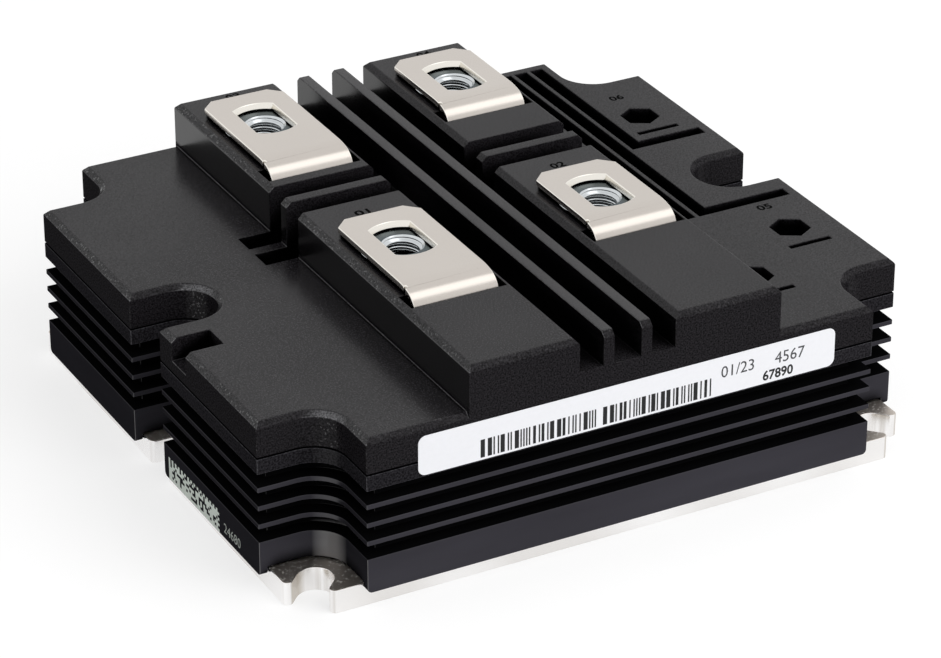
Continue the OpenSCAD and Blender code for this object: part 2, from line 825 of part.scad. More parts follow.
// Soft filling of the frame's cavity, clear of the tiles and of the terminals
module silicone_gel() {
    color("lightyellow", 0.5) difference() {
        translate([0, 0, base_t]) linear_extrude(gel_z - base_t) plan(cavity_inset);
        for (tile = TILES)
            on_tile(tile, (bus_z + base_t) / 2)
                cube([tile_l + 2 * gel_clear, tile_w + 2 * gel_clear, bus_z - base_t + over], center = true);
        for (row = ROWS) {
            cathode_terminal(row);
            anode_terminal(row);
        }
    }
}

// Paper label on the front side, across the parting line
module front_label() {
    inner = [label_l - 2 * label_r, label_h - 2 * label_r];
    color("white") translate([label_x, -module_w / 2, band_z + label_z + label_h / 2]) rotate([90, 0, 0])
        linear_extrude(label_t) {
            square([label_l, inner[1]], center = true);
            square([inner[0], label_h], center = true);
            for (sx = [-1, 1], sy = [-1, 1])
                translate([sx * inner[0] / 2, sy * inner[1] / 2]) circle(label_r, $fn = 48);
        }
}

baseplate();
base_seal();
housing_frame();
lid_seal();
housing_lid();
lid_trough();
gap_ribs();
terminal_nuts();
silicone_gel();
front_label();
for (row = ROWS) {
    cathode_terminal(row);
    anode_terminal(row);
}
for (row = ROWS, col = COLUMNS) {
    terminal_block(row, col[1]);
}
for (tile = TILES) {
    backside_copper(tile);
    ceramic_tile(tile);
    circuit_copper(tile);
    diode_chips(tile);
    bond_wires(tile);
}
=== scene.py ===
"""Dresses the solids of a power diode module: rounded mouldings, plated metal, threads, print, studio."""

import json
import math
import random

import bmesh
import bpy
from bpy.props import FloatProperty, FloatVectorProperty, IntProperty, PointerProperty, StringProperty
from mathutils import Matrix, Vector


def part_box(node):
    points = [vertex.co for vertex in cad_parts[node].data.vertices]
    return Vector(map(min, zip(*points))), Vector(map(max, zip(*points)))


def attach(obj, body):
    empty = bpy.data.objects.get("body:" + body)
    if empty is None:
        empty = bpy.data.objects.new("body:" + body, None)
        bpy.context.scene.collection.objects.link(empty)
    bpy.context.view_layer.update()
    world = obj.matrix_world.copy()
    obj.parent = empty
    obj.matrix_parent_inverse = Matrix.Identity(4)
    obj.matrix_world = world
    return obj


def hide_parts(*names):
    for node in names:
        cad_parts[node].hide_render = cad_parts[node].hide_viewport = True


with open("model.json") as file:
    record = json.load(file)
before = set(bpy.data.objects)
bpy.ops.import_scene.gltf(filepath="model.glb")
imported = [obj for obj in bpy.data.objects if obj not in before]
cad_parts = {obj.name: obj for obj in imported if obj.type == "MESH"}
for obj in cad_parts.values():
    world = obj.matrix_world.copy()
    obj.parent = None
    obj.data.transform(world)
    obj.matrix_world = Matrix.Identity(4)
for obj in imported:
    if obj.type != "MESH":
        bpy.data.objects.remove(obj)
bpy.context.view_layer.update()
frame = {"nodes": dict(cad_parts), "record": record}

bl_info = {
    "name": "Power Diode Module",
    "version": (1, 0, 0),
    "blender": (4, 5, 0),
    "location": "3D View > Sidebar > Module",
    "description": "Dresses the packed solids of a power diode module and sets up its studio",
    "category": "Object",
}

MM = 0.001
WHITE = (1.0, 1.0, 1.0, 1.0)
BODY = "root"

# Places that the pieces of this script take from the frame
PLATE_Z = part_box("baseplate")[0].z
FRAME_LOW, FRAME_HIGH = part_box("housing_frame")
DECK_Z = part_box("housing_lid")[1].z
BLOCK_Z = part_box("lid_trough")[1].z
LABEL_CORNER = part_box("front_label")[0]
NUTS_LOW, NUTS_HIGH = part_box("terminal_nuts")
TERMINALS = [pole + "_terminal_" + end for pole in ("cathode", "anode") for end in ("front", "rear")]
TILES = ["front_left", "front_right", "rear_left", "rear_right"]
LID_PARTS = ["housing_lid", "lid_trough", "gap_ribs"] + ["terminal_block_" + tile for tile in TILES]
SCREWS = [Vector(mount["pos_m"]) for mount in frame["record"]["mounts"] if mount["kind"] == "threaded_hole"]

# Limits for the clean-up of a copied CAD mesh, and the slope from which a face counts as a top
WELD = 1e-6
FLAT_ANGLE = math.radians(0.6)
SHARP_ANGLE = math.radians(28)
TOP_SLOPE = 0.9

# Steps round a collar, and in one turn of a thread
COLLAR_STEPS = 96
THREAD_STEPS = 48

# Textures: features per metre, heights of the grain, and how far off other faces shade a moulding
LID_GRAIN, LID_CLOUD = 3000, 26
GRAIN, SPECKS = 2600, 3600
PLATE_PATCH, PLATE_MARK = 34, 700
NICKEL_CLOUD, FRAME_FLOW, FIBRE = 70, 60, 1200
LID_BUMP, FRAME_BUMP = 0.03 * MM, 0.012 * MM
PLATE_BUMP, NICKEL_BUMP, ZINC_BUMP = 0.004 * MM, 0.0015 * MM, 0.004 * MM
LID_SHELTER, FRAME_SHELTER, SHELTER_SAMPLES = 10 * MM, 4 * MM, 16

FLOW_STRETCH, MILL_STRETCH = (0.3, 0.3, 2.0), (1.0, 1.0, 0.03)

# Half the width of the strip with the two long ribs
RIB_REACH = 7.5 * MM

# Shares of the frame's height at which its band starts and its skirt ends
FRAME_BAND, FRAME_SKIRT = (0.86, 0.87), (0.3, 0.32)

# Shares of the blocks' height over the deck: where the trough's floor lies, and where raised walls start
TROUGH_FLOOR, RAISED = (0.15, 0.2, 0.35, 0.4), (0.05, 0.12)

# Corners that shine, with painted glints and sheen: their direction between left and front, and how far walls
# and chamfers turn to it
SHINE_LEFT, SHINE_FRONT = 0.8, 0.6
WALL_CORNER, CHAMFER_CORNER = (0.85, 0.99), (0.58, 0.7)

# Print on the label, in millimetres from its lower left corner
NUMBER_LEFT = (65.0, 3.75), (72.3, 6.2)
NUMBER_RIGHT = (77.0, 3.75), (83.7, 6.2)
NUMBER_BOLD = (74.4, 0.6), (81.2, 2.8)
BAR_GROUPS = (13.0, 37.95), (39.1, 63.4)
BAR_LOW, BAR_HIGH = 0.5, 4.3
BAR_WIDTHS = (0.3, 0.3, 0.6, 0.9)
BAR_GAPS = (0.3, 0.3, 0.6, 0.6)
BOLD = 0.025

# Code and number on the left side, in millimetres to the front of its middle and up from its foot
NUMBER_SKIRT = (34.3, 5.1), (41.6, 7.2)
CODE_CORNER, CODE_CELL = Vector((9.2, 3.9)), Vector((0.72, 0.61))
CODE_COLUMNS, CODE_ROWS = 32, 8
CODE_SHARE, CELL_SHARE = 0.62, 0.97

# Digits on the blocks and the deck: their middles in millimetres, and the height of their surface
TOP_MARKS = (
    ("01", -22.2, 1.0, BLOCK_Z), ("02", 22.1, 1.4, BLOCK_Z),
    ("03", -21.5, 62.0, BLOCK_Z), ("04", 23.4, 62.0, BLOCK_Z),
    ("05", 59.2, -18.2, DECK_Z), ("06", 59.0, 41.3, DECK_Z),
)
MARK_SIZE = Vector((3.2, 2.2))

# Studio: half the floor's side and its gap under the module in metres, and the sensor's width in millimetres
FLOOR_REACH, FLOOR_GAP = 6.0, 0.05 * MM
SENSOR = 36.0

# Turns of flat print onto the module's front and left sides
ON_FRONT = Matrix(((1, 0, 0, 0), (0, 0, -1, 0), (0, 1, 0, 0), (0, 0, 0, 1)))
ON_LEFT = Matrix(((0, 0, -1, 0), (-1, 0, 0, 0), (0, 1, 0, 0), (0, 0, 0, 1)))


def length(name, description, millimetres):
    """Property for a length, given in millimetres and kept in metres."""
    return FloatProperty(name=name, description=description, default=millimetres * MM, precision=5,
                         unit="LENGTH")


def colour(name, description, red, green, blue):
    """Property for a colour, given as linear shares of red, green and blue."""
    return FloatVectorProperty(name=name, description=description, default=(red, green, blue), size=3,
                               min=0.0, max=1.0, subtype="COLOR")


def point(name, description, x, y, z):
    """Property for a place, in metres."""
    return FloatVectorProperty(name=name, description=description, default=(x, y, z), size=3, precision=5,
                               subtype="TRANSLATION", unit="LENGTH")


def amount(name, description, value):
    """Property for a plain number."""
    return FloatProperty(name=name, description=description, default=value, precision=4)


def number(name, description, digits):
    """Property for a printed number."""
    return StringProperty(name=name, description=description, default=digits)


class HousingSettings(bpy.types.PropertyGroup):
    """Sizes and colours of the two black mouldings."""
    lid_round: length("Lid edges", "Rounding of the lid's edges", 0.2)
    frame_round: length("Frame edges", "Rounding of the frame's edges", 0.16)
    lid_body: colour("Lid", "Grained faces of the lid", 0.0122, 0.0112, 0.0128)
    # Painted highlight on the chamfers that face left
    lid_chamfer_highlight: colour("Lid edge", "Chamfered edges of the lid", 0.0225, 0.022, 0.0235)
    # Painted glint on the chamfers round the lid's corners
    lid_glint: colour("Lid glint", "Chamfers round the lid's corners", 0.085, 0.084, 0.09)
    # Painted shade: the share of the lid's colour that is left deep in its gaps
    lid_gap_shade: amount("Lid groove", "Share of the lid's colour that is left deep in its gaps", 0.04)
    lid_sheen: amount("Lid sheen", "Share of the coat on the lid's tops", 0.5)
    rib_sheen: amount("Rib sheen", "How much more coat the tops of the long ribs have", 0.45)
    side_sheen: amount("Side sheen", "Share of the coat on the lid's upright faces", 0.09)
    wall_sheen: amount("Wall sheen", "Share of the coat on the smooth walls of the blocks and ribs", 0.8)
    frame_body: colour("Frame", "Smooth upright faces of the frame", 0.0445, 0.0428, 0.0512)
    frame_band: colour("Frame band", "Grained upper band of the frame", 0.0185, 0.0176, 0.0202)
    # Painted shade: the dark colour for faces between the fins, on tops and on faces that look left
    frame_shade: colour("Frame gap", "Faces between the frame's fins", 0.003, 0.003, 0.0034)
    # Painted highlight: the rounded edges of the frame are painted slightly lighter
    frame_edge_highlight: colour("Frame edge", "Rounded edges of the frame", 0.05, 0.049, 0.056)
    # Painted sheen on the skirt's rounded corners that turn between front and left
    frame_shine: colour("Frame shine", "Rounded corners of the skirt", 0.15, 0.147, 0.15)


class MetalSettings(bpy.types.PropertyGroup):
    """Sizes and colours of the baseplate, the terminals and the nuts."""
    plate_round: length("Plate edges", "Rounding of the baseplate's edges", 0.2)
    strip_round: length("Strip edges", "Rounding of the terminals' edges", 0.16)
    strip_thickness: length("Strip thickness", "Thickness of the terminals' flaps", 1.2)
    nut_round: length("Nut edges", "Rounding of the nuts' edges", 0.06)
    thread_pitch: length("Thread pitch", "Pitch of the nuts' threads", 1.25)
    thread_minor: length("Thread crest", "Radius of the nuts' threads at their crests", 3.32)
    thread_major: length("Thread root", "Radius of the nuts' threads at their roots", 4.0)
    thread_mouth: length("Thread mouth", "Radius of the nuts' countersinks", 4.32)
    plate: colour("Plate", "Plating of the baseplate", 0.95, 0.94, 0.935)
    plate_dark: colour("Plate grain", "Darker bands in the plating of the baseplate", 0.74, 0.715, 0.69)
    # Painted shade on the slot walls that face right
    plate_side: colour("Plate side", "Slot walls that face right", 0.54, 0.495, 0.435)
    plate_top: colour("Plate top", "Duller top of the baseplate", 0.6, 0.545, 0.49)
    nickel: colour("Nickel", "Plating of the terminals", 0.615, 0.573, 0.531)
    nickel_dark: colour("Nickel grain", "Darker grains in the plating of the terminals", 0.562, 0.52, 0.478)
    # Painted highlight on the terminals' rounded edges and hole walls
    nickel_highlight: colour("Cut nickel", "Edges and hole walls of the terminals", 0.84, 0.81, 0.75)
    zinc: colour("Zinc", "Plating of the nuts", 0.72, 0.75, 0.77)
    # Painted shade on the tops of the nuts, under the flaps
    zinc_shade: colour("Dark zinc", "Plating on the ends of the nuts", 0.07, 0.088, 0.095)
    collar_in: length("Collar bore", "Inner radius of the collar round each nut", 8.0)
    collar_out: length("Collar", "Outer radius of the collar round each nut", 8.5)
    collar_height: length("Collar height", "Height of the collar over the block", 0.4)
    collar_slope: length("Collar slope", "Chamfer on the outer edge of the collar", 0.3)
    hole_reach: length("Hole reach", "Radius round a screw's axis within which the hole's rim lies", 7.6)
    hole_taper: length("Hole taper", "Narrowing of the terminals' holes towards their lower rims", 0.6)


class MarkingSettings(bpy.types.PropertyGroup):
    """Print on the label and marks on the mouldings: plain numbers and generic codes."""
    film: colour("Film", "Label film", 0.96, 0.965, 1.0)
    ink: colour("Ink", "Bold print on the label", 0.008, 0.008, 0.009)
    grey_ink: colour("Grey ink", "Thin print on the label", 0.06, 0.06, 0.065)
    mark: colour("Mark", "Code on the skirt", 0.86, 0.93, 0.86)
    number_left: number("Left number", "First thin number on the label", "01/23")
    number_right: number("Right number", "Second thin number on the label", "4567")
    number_bold: number("Bold number", "Bold number on the label", "67890")
    number_skirt: number("Skirt number", "Number beside the skirt's code", "24680")
    seed: IntProperty(name="Seed", description="Start of the random draws for the two codes", default=11)
    # Painted shade: the digits stand for engraved ones, dark from the shade in their recesses
    engraved_digit_shade: colour("Dark mark", "Digits on the deck and the blocks", 0.006, 0.006, 0.006)
    ink_height: length("Ink height", "Height of print and marks over their surface", 0.02)
    film_round: length("Film edges", "Rounding of the label's edges", 0.04)


class InteriorSettings(bpy.types.PropertyGroup):
    """Colours inside the housing, each varied from dark to pale."""
    adhesive_dark: colour("Dark adhesive", "Seals", 0.02, 0.02, 0.022)
    adhesive_pale: colour("Pale adhesive", "Seals", 0.035, 0.035, 0.038)
    gel_dark: colour("Dark gel", "Soft filling", 0.5, 0.52, 0.5)
    gel_pale: colour("Pale gel", "Soft filling", 0.62, 0.64, 0.6)
    back_dark: colour("Dark back copper", "Copper under the tiles", 0.72, 0.36, 0.22)
    back_pale: colour("Pale back copper", "Copper under the tiles", 0.85, 0.47, 0.3)
    ceramic_dark: colour("Dark ceramic", "Tiles", 0.7, 0.68, 0.62)
    ceramic_pale: colour("Pale ceramic", "Tiles", 0.82, 0.81, 0.77)
    circuit_dark: colour("Dark circuit copper", "Copper on the tiles", 0.74, 0.38, 0.24)
    circuit_pale: colour("Pale circuit copper", "Copper on the tiles", 0.88, 0.5, 0.32)
    chip_dark: colour("Dark silicon", "Chips", 0.2, 0.21, 0.24)
    chip_pale: colour("Pale silicon", "Chips", 0.28, 0.29, 0.33)
    wire_dark: colour("Dark aluminium", "Bond wires", 0.74, 0.75, 0.77)
    wire_pale: colour("Pale aluminium", "Bond wires", 0.86, 0.87, 0.88)


class StageSettings(bpy.types.PropertyGroup):
    """Camera, lamps and surroundings."""
    eye: point("Eye", "Place of the camera", -0.336598, -0.629728, 0.398514)
    aim: FloatVectorProperty(name="Aim", description="Direction of the camera", subtype="DIRECTION", size=3,
                             default=(0.416615, 0.776099, -0.473393))
    lens: amount("Lens", "Focal length in millimetres on a 36 mm wide sensor", 153.14)
    key_power: amount("Key power", "Power of the lamp above", 1.2)
    key_place: point("Key place", "Middle of the lamp above", 0.5, -0.25, 1.05)
    key_size: length("Key size", "Side of the lamp above", 650)
    fill_power: amount("Fill power", "Power of the lamp in front", 17.0)
    fill_place: point("Fill place", "Middle of the lamp in front", 0.6, -1.2, 0.75)
    fill_size: length("Fill size", "Side of the lamp in front", 1600)
    sky: amount("Sky", "Strength of the surroundings as light", 0.6)
    floor_share: amount("Floor share", "Share of the floor's white that doesn't depend on the lamps", 0.66)
    floor: colour("Floor", "Floor", 0.42, 0.42, 0.42)


class ModuleSettings(bpy.types.PropertyGroup):
    """All settings of the module."""
    housing: PointerProperty(type=HousingSettings)
    metal: PointerProperty(type=MetalSettings)
    marking: PointerProperty(type=MarkingSettings)
    interior: PointerProperty(type=InteriorSettings)
    stage: PointerProperty(type=StageSettings)


class Value:
    """One output of a shader node. Arithmetic on it adds Math nodes."""

    def __init__(self, nodes, socket):
        self.nodes = nodes
        self.socket = socket

    def math(self, operation, first, second):
        """Adds a Math node of two values."""
        return self.nodes.node("ShaderNodeMath", {"operation": operation}, {0: first, 1: second})

    def __add__(self, other):
        return self.math("ADD", self, other)

    def __radd__(self, other):
        return self.math("ADD", other, self)

    def __sub__(self, other):
        return self.math("SUBTRACT", self, other)

    def __rsub__(self, other):
        return self.math("SUBTRACT", other, self)

    def __mul__(self, other):
        return self.math("MULTIPLY", self, other)

    def __rmul__(self, other):
        return self.math("MULTIPLY", other, self)


class Nodes:
    """Adds nodes to one node tree."""

    def __init__(self, tree):
        self.tree = tree
        self.tree.nodes.clear()

    def node(self, kind, settings=None, inputs=None, output=0):
        """Adds a node, sets it up, feeds its sockets, and returns the output asked for, if any."""
        made = self.tree.nodes.new(kind)
        for name, value in (settings or {}).items():
            if name == "stops":
                self.set_stops(made.color_ramp, value)
            else:
                setattr(made, name, value)
        for name, value in (inputs or {}).items():
            self.feed(made.inputs[name], value)
        return None if output is None else Value(self, made.outputs[output])

    def set_stops(self, ramp, stops):
        """Gives a colour ramp its stops, each a place and a colour."""
        while len(ramp.elements) < len(stops):
            ramp.elements.new(1.0)
        for element, (place, value) in zip(ramp.elements, stops):
            element.position = place
            element.color = opaque(value)

    def feed(self, socket, value):
        """Links a socket to an output, or sets its value."""
        if isinstance(value, Value):
            self.tree.links.new(value.socket, socket)
        else:
            socket.default_value = value

    def seen_ray(self):
        """1 for rays that show a surface or the sky as such, 0 for rays that only carry its light."""
        rays = [self.node("ShaderNodeLightPath", output=name)
                for name in ("Is Camera Ray", "Is Glossy Ray", "Is Transmission Ray")]
        return rays[0] + rays[1] + rays[2]


class Finish(Nodes):
    """One procedural material around a Principled shader."""

    def __init__(self, name, **constants):
        self.material = bpy.data.materials.new(name)
        self.material.use_nodes = True
        super().__init__(self.material.node_tree)
        self.shader = self.tree.nodes.new("ShaderNodeBsdfPrincipled")
        surface = Value(self, self.shader.outputs["BSDF"])
        self.node("ShaderNodeOutputMaterial", None, {"Surface": surface}, None)
        for name, value in constants.items():
            self.set(name.replace("_", " "), value)

    def set(self, name, value):
        """Feeds one of the shader's sockets."""
        self.feed(self.shader.inputs[name], value)

    def place(self, stretch=(1, 1, 1)):
        """Object coordinates, stretched."""
        spot = self.node("ShaderNodeTexCoord", output="Object")
        return self.node("ShaderNodeMapping", None, {"Vector": spot, "Scale": stretch})

    def noise(self, scale, detail=2.0, stretch=(1, 1, 1)):
        """Noise from 0 to 1, with features about one metre over the scale in size."""
        return self.node("ShaderNodeTexNoise", None,
                         {"Vector": self.place(stretch), "Scale": scale, "Detail": detail})

    def speckle(self, scale, share):
        """1 on a share of small cells, 0 elsewhere."""
        cells = self.node("ShaderNodeTexVoronoi", None, {"Vector": self.place(), "Scale": scale}, "Color")
        drawn = self.node("ShaderNodeSeparateColor", None, {"Color": cells})
        return self.node("ShaderNodeMath", {"operation": "LESS_THAN"}, {0: drawn, 1: share})

    def way(self, axis):
        """Part of the surface's direction along one axis: along Z, 1 on tops and 0 on upright faces."""
        normal = self.node("ShaderNodeNewGeometry", output="Normal")
        return self.node("ShaderNodeSeparateXYZ", None, {"Vector": normal}, axis)

    def corner(self, low, high):
        """From 0 to 1 as a face turns to look out between front and left."""
        turn = 0.0 - (SHINE_LEFT * self.way("X") + SHINE_FRONT * self.way("Y"))
        return self.rise(turn, low, high)

    def shelter(self, reach):
        """1 in the open, less where other faces stand close."""
        return self.node("ShaderNodeAmbientOcclusion", {"samples": SHELTER_SAMPLES},
                         {"Distance": reach}, "AO")

    def height(self):
        """Height over the module's lower face, in metres."""
        return self.node("ShaderNodeSeparateXYZ", None, {"Vector": self.place()}, "Z")

    def across(self):
        """Distance to the right of the module's middle, in metres."""
        return self.node("ShaderNodeSeparateXYZ", None, {"Vector": self.place()}, "X")

    def edge(self):
        """1 on rounded edges and on the walls of punched holes, 0 elsewhere."""
        return self.node("ShaderNodeAttribute", {"attribute_name": "edge"}, None, "Fac")

    def ramp(self, value, *stops):
        """Colour from a value."""
        return self.node("ShaderNodeValToRGB", {"stops": stops}, {"Fac": value})

    def rise(self, value, low, high, start=0.0, end=1.0):
        """Number that goes from start to end as a value goes from low to high."""
        return self.ramp(value, (low, grey(start)), (high, grey(end)))

    def hump(self, value, low, full, last, high):
        """1 for values between full and last, down to 0 at low and at high."""
        return self.ramp(value, (low, grey(0.0)), (full, grey(1.0)), (last, grey(1.0)), (high, grey(0.0)))

    def mix(self, share, first, second, blend="MIX"):
        """Mix of two colours."""
        return self.node("ShaderNodeMix", {"data_type": "RGBA", "blend_type": blend},
                         {0: share, 6: opaque(first), 7: opaque(second)}, 2)

    def bump(self, height, distance, strength=1.0):
        """Feeds the shader's normal from a height."""
        self.set("Normal", self.node("ShaderNodeBump", None,
                                     {"Height": height, "Distance": distance, "Strength": strength}))


def opaque(value):
    """A colour with full alpha, or an output as it is."""
    if isinstance(value, Value):
        return value
    return (*value[:3], 1.0)


def grey(level):
    """Neutral colour of one level."""
    return (level, level, level)


def lid_plastic(look):
    """Matt, fine-grained black moulding, with a sheen on its tops and sparkling grains on its edges, painted
    highlights and glints on its chamfers, and painted shade in its gaps and on raised walls that face left.
    """
    finish = Finish("lid_plastic", Specular_IOR_Level=0.0, Coat_Roughness=0.24)
    slope, front, left = finish.way("Z"), 0.0 - finish.way("Y"), 0.0 - finish.way("X")
    across = finish.across() * (1.0 / RIB_REACH)
    level = (finish.height() - DECK_Z) * (1.0 / (BLOCK_Z - DECK_Z))
    grain = finish.noise(LID_GRAIN)
    cloud = finish.noise(LID_CLOUD, 3)
    sparks = finish.speckle(SPECKS, 0.08)
    coarse = finish.rise(grain, 0.36, 0.64, 0.3, 1.8)
    fine = finish.rise(grain, 0.3, 0.7, 0.82, 1.18)

    # Masks: trough floor, slanting faces, faces that look left, plain ones of these on the right half, long
    # ribs, tops, fronts, faces in the open, smooth walls, rough chamfers, and their glint round the corners
    sunk = finish.hump(level, *TROUGH_FLOOR)
    slant = finish.hump(slope, 0.35, 0.6, 0.8, 0.93)
    turned = finish.rise(left, 0.1, 0.5)
    plain = turned * finish.rise(across, 0.8, 1.0)
    ribs = finish.rise(across * across, 0.8, 1.0, 1.0, 0.0)
    top = finish.rise(slope, 0.8, 0.93) + 0.8 * slant * plain
    upright = finish.rise(front, 0.1, 0.9, 0.25, 1.0)
    open_air = finish.rise(finish.shelter(LID_SHELTER), 0.38, 0.56)
    # Raised walls that face left: a glossier coat, and their colour darkened as painted shade
    smooth = finish.rise(level, *RAISED) * finish.rise(left, 0.8, 0.95)
    chamfer = slant * (1.0 - sunk) * (1.0 - plain)
    # Painted glint on the chamfers that turn between front and left
    glint = chamfer * finish.corner(*CHAMFER_CORNER)

    # Painted highlights: left-facing chamfers take the lighter chamfer colour, and chamfers round the corners
    # take the glint colour
    body = finish.mix(glint * 0.7, finish.mix(chamfer * turned, look.lid_body, look.lid_chamfer_highlight), look.lid_glint)
    # Painted shade: the colour darkens where other faces stand close, and on the raised walls that face left
    share = coarse * (look.lid_gap_shade + (1.0 - look.lid_gap_shade) * open_air) * (1.0 - 0.7 * smooth)
    finish.set("Base Color", finish.mix(1.0, body, share, "MULTIPLY"))
    finish.set("Roughness", 0.5 + 0.2 * grain)
    edge = chamfer * (0.3 + 0.7 * turned) * (0.45 + sparks)
    edge = edge + finish.corner(*WALL_CORNER) * (0.1 + sparks * 0.8) + glint * 0.4
    tops = top * (1.0 - 0.6 * sunk) * (1.0 + look.rib_sheen * ribs) * look.lid_sheen
    sheen = (tops + upright * look.side_sheen + edge) * fine * (0.75 + cloud * 0.5)
    finish.set("Coat Weight", sheen * open_air + smooth * look.wall_sheen)
    finish.bump(grain, LID_BUMP, 0.5)
    return finish.material


def frame_plastic(look):
    """Satin black moulding: grained on its upper band, glossy round its corners with a painted sheen there,
    and painted shade in its gaps, on its tops and on faces that look left.
    """
    finish = Finish("frame_plastic", Specular_IOR_Level=0.0, Coat_Roughness=0.22)
    slope, left = finish.way("Z"), 0.0 - finish.way("X")
    edge, corner = finish.edge(), finish.corner(*WALL_CORNER)
    height = (finish.height() - FRAME_LOW.z) * (1.0 / (FRAME_HIGH.z - FRAME_LOW.z))
    flow = finish.noise(FRAME_FLOW, 4, FLOW_STRETCH)
    grain = finish.noise(GRAIN)
    band = finish.rise(height, *FRAME_BAND)
    # Painted shade: faces that look left are darkened halfway to the shade colour
    aside = finish.rise(left, 0.5, 0.95, 0.0, 0.5)
    upright = finish.mix(band, finish.mix(aside, look.frame_body, look.frame_shade), look.frame_band)
    # Painted highlight along the rounded edges
    rounded = finish.mix(edge * 0.7, upright, look.frame_edge_highlight)
    # Painted shade in the gaps between the fins, where other faces stand close
    inside = finish.rise(finish.shelter(FRAME_SHELTER), 0.6, 0.95, 1.0, 0.0)
    flat = finish.rise(slope, 0.5, 0.8)
    skirt = finish.rise(height, *FRAME_SKIRT, 1.0, 0.0)
    # Painted sheen on the skirt's corners that turn between front and left
    shone = finish.mix(skirt * corner, finish.mix(inside, rounded, look.frame_shade), look.frame_shine)
    # Painted shade on the tops of the fins and the skirt
    shaded_tops = finish.mix(flat, shone, look.frame_shade)
    flowed = finish.mix(1.0, shaded_tops, finish.rise(flow, 0.3, 0.7, 0.85, 1.15), "MULTIPLY")
    coarse = finish.rise(grain, 0.36, 0.64, 0.4, 1.65)
    finish.set("Base Color", finish.mix(band, flowed, finish.mix(1.0, flowed, coarse, "MULTIPLY")))
    finish.set("Roughness", 0.35 + 0.2 * grain)
    gloss = edge * (1.0 - inside) * (0.06 + grain * 0.25) + corner * (0.9 - band * 0.7)
    finish.set("Coat Weight", gloss * (1.0 - flat))
    finish.bump(grain, FRAME_BUMP, 0.4)
    return finish.material


def plate_metal(look):
    """Bright plating of the baseplate: soft patches, milled slots whose walls that face right are painted
    darker and warmer as shade, and a duller, specked top.
    """
    finish = Finish("plated_baseplate", Metallic=1.0)
    patches = finish.rise(finish.noise(PLATE_PATCH, 1), 0.38, 0.62, 0.35, 1.0)
    marks = finish.rise(finish.noise(PLATE_MARK, 2, MILL_STRETCH), 0.38, 0.6)
    grain = finish.noise(GRAIN)
    specks = finish.speckle(SPECKS, 0.1)
    top = finish.rise(finish.way("Z"), 0.6, 0.9)
    turned = finish.way("X") * finish.way("Y") * 2.0
    milled = finish.mix(turned * turned, patches, marks)
    # Painted shade: walls that face right take the darker, warmer colour
    aside = finish.rise(finish.way("X"), 0.1, 0.6)
    metal = finish.mix(aside, finish.mix(milled, look.plate_dark, look.plate), look.plate_side)
    dull = finish.mix(specks * grain, look.plate_top, look.plate)
    finish.set("Base Color", finish.mix(top, metal, dull))
    finish.set("Roughness", 0.18 + 0.1 * grain + top * (0.2 + 0.25 * specks))
    finish.bump(grain, PLATE_BUMP, 0.3)
    return finish.material


def nickel_metal(look):
    """Warm satin nickel of the terminals, with painted highlights on its rounded edges and punched hole
    walls.
    """
    finish = Finish("nickel_copper", Metallic=1.0)
    grain = finish.noise(GRAIN, 3)
    cloud = finish.noise(NICKEL_CLOUD, 3)
    body = finish.mix(grain * 0.4 + cloud * 0.6, look.nickel_dark, look.nickel)
    # Painted highlight on the rounded edges and hole walls
    finish.set("Base Color", finish.mix(finish.edge(), body, look.nickel_highlight))
    finish.set("Roughness", 0.2 + 0.06 * grain)
    finish.bump(grain, NICKEL_BUMP, 0.4)
    return finish.material


def zinc_metal(name, look, ends):
    """Bright zinc with faint turning marks and a given colour on upward faces, a painted shade on the nuts'
    tops.
    """
    finish = Finish(name, Metallic=1.0)
    turning = finish.noise(GRAIN, 2, FLOW_STRETCH)
    end = finish.rise(finish.way("Z"), 0.85, 0.97)
    side = finish.mix(turning, shade(look.zinc, 0.75), look.zinc)
    finish.set("Base Color", finish.mix(end, side, ends))
    finish.set("Roughness", 0.12 + 0.16 * turning)
    finish.bump(turning, ZINC_BUMP, 0.5)
    return finish.material


def shade(value, factor):
    """A colour made darker or lighter."""
    return tuple(factor * part for part in value[:3])


def print_finish(name, value, roughness, gloss=0.3):
    """Film or ink of one colour with a faint fibre grain."""
    finish = Finish(name, Specular_IOR_Level=gloss)
    fibre = finish.noise(FIBRE, 3)
    finish.set("Base Color", finish.mix(fibre, shade(value, 0.95), value))
    finish.set("Roughness", roughness + 0.1 * fibre)
    return finish.material


def inner_finish(name, low, high, scale, metallic, roughness):
    """Finish of a piece inside the housing, varied between two colours."""
    finish = Finish(name, Metallic=metallic)
    grain = finish.noise(scale, 3)
    finish.set("Base Color", finish.mix(grain, low, high))
    finish.set("Roughness", roughness + 0.15 * grain)
    return finish.material


def mesh_of(name, bm):
    """Mesh of a bmesh, which is freed."""
    mesh = bpy.data.meshes.new(name)
    bm.to_mesh(mesh)
    bm.free()
    return mesh


def add_object(name, data):
    """Adds an object to the scene."""
    made = bpy.data.objects.new(name, data)
    bpy.context.scene.collection.objects.link(made)
    return made


def add_piece(name, bm, material, slot):
    """Makes an object of a bmesh, which rides on the module."""
    made = add_object(name, mesh_of(name, bm))
    made.data.materials.append(material)
    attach(made, BODY)
    return made


def join_flat(bm):
    """Joins the triangles of a bmesh into flat faces."""
    bmesh.ops.remove_doubles(bm, verts=bm.verts, dist=WELD)
    bmesh.ops.dissolve_limit(bm, angle_limit=FLAT_ANGLE, verts=bm.verts, edges=bm.edges)
    return bm


def welded_copy(node):
    """Bmesh of a CAD node with its triangles joined."""
    bm = bmesh.new()
    bm.from_mesh(frame["nodes"][node].data)
    return join_flat(bm)


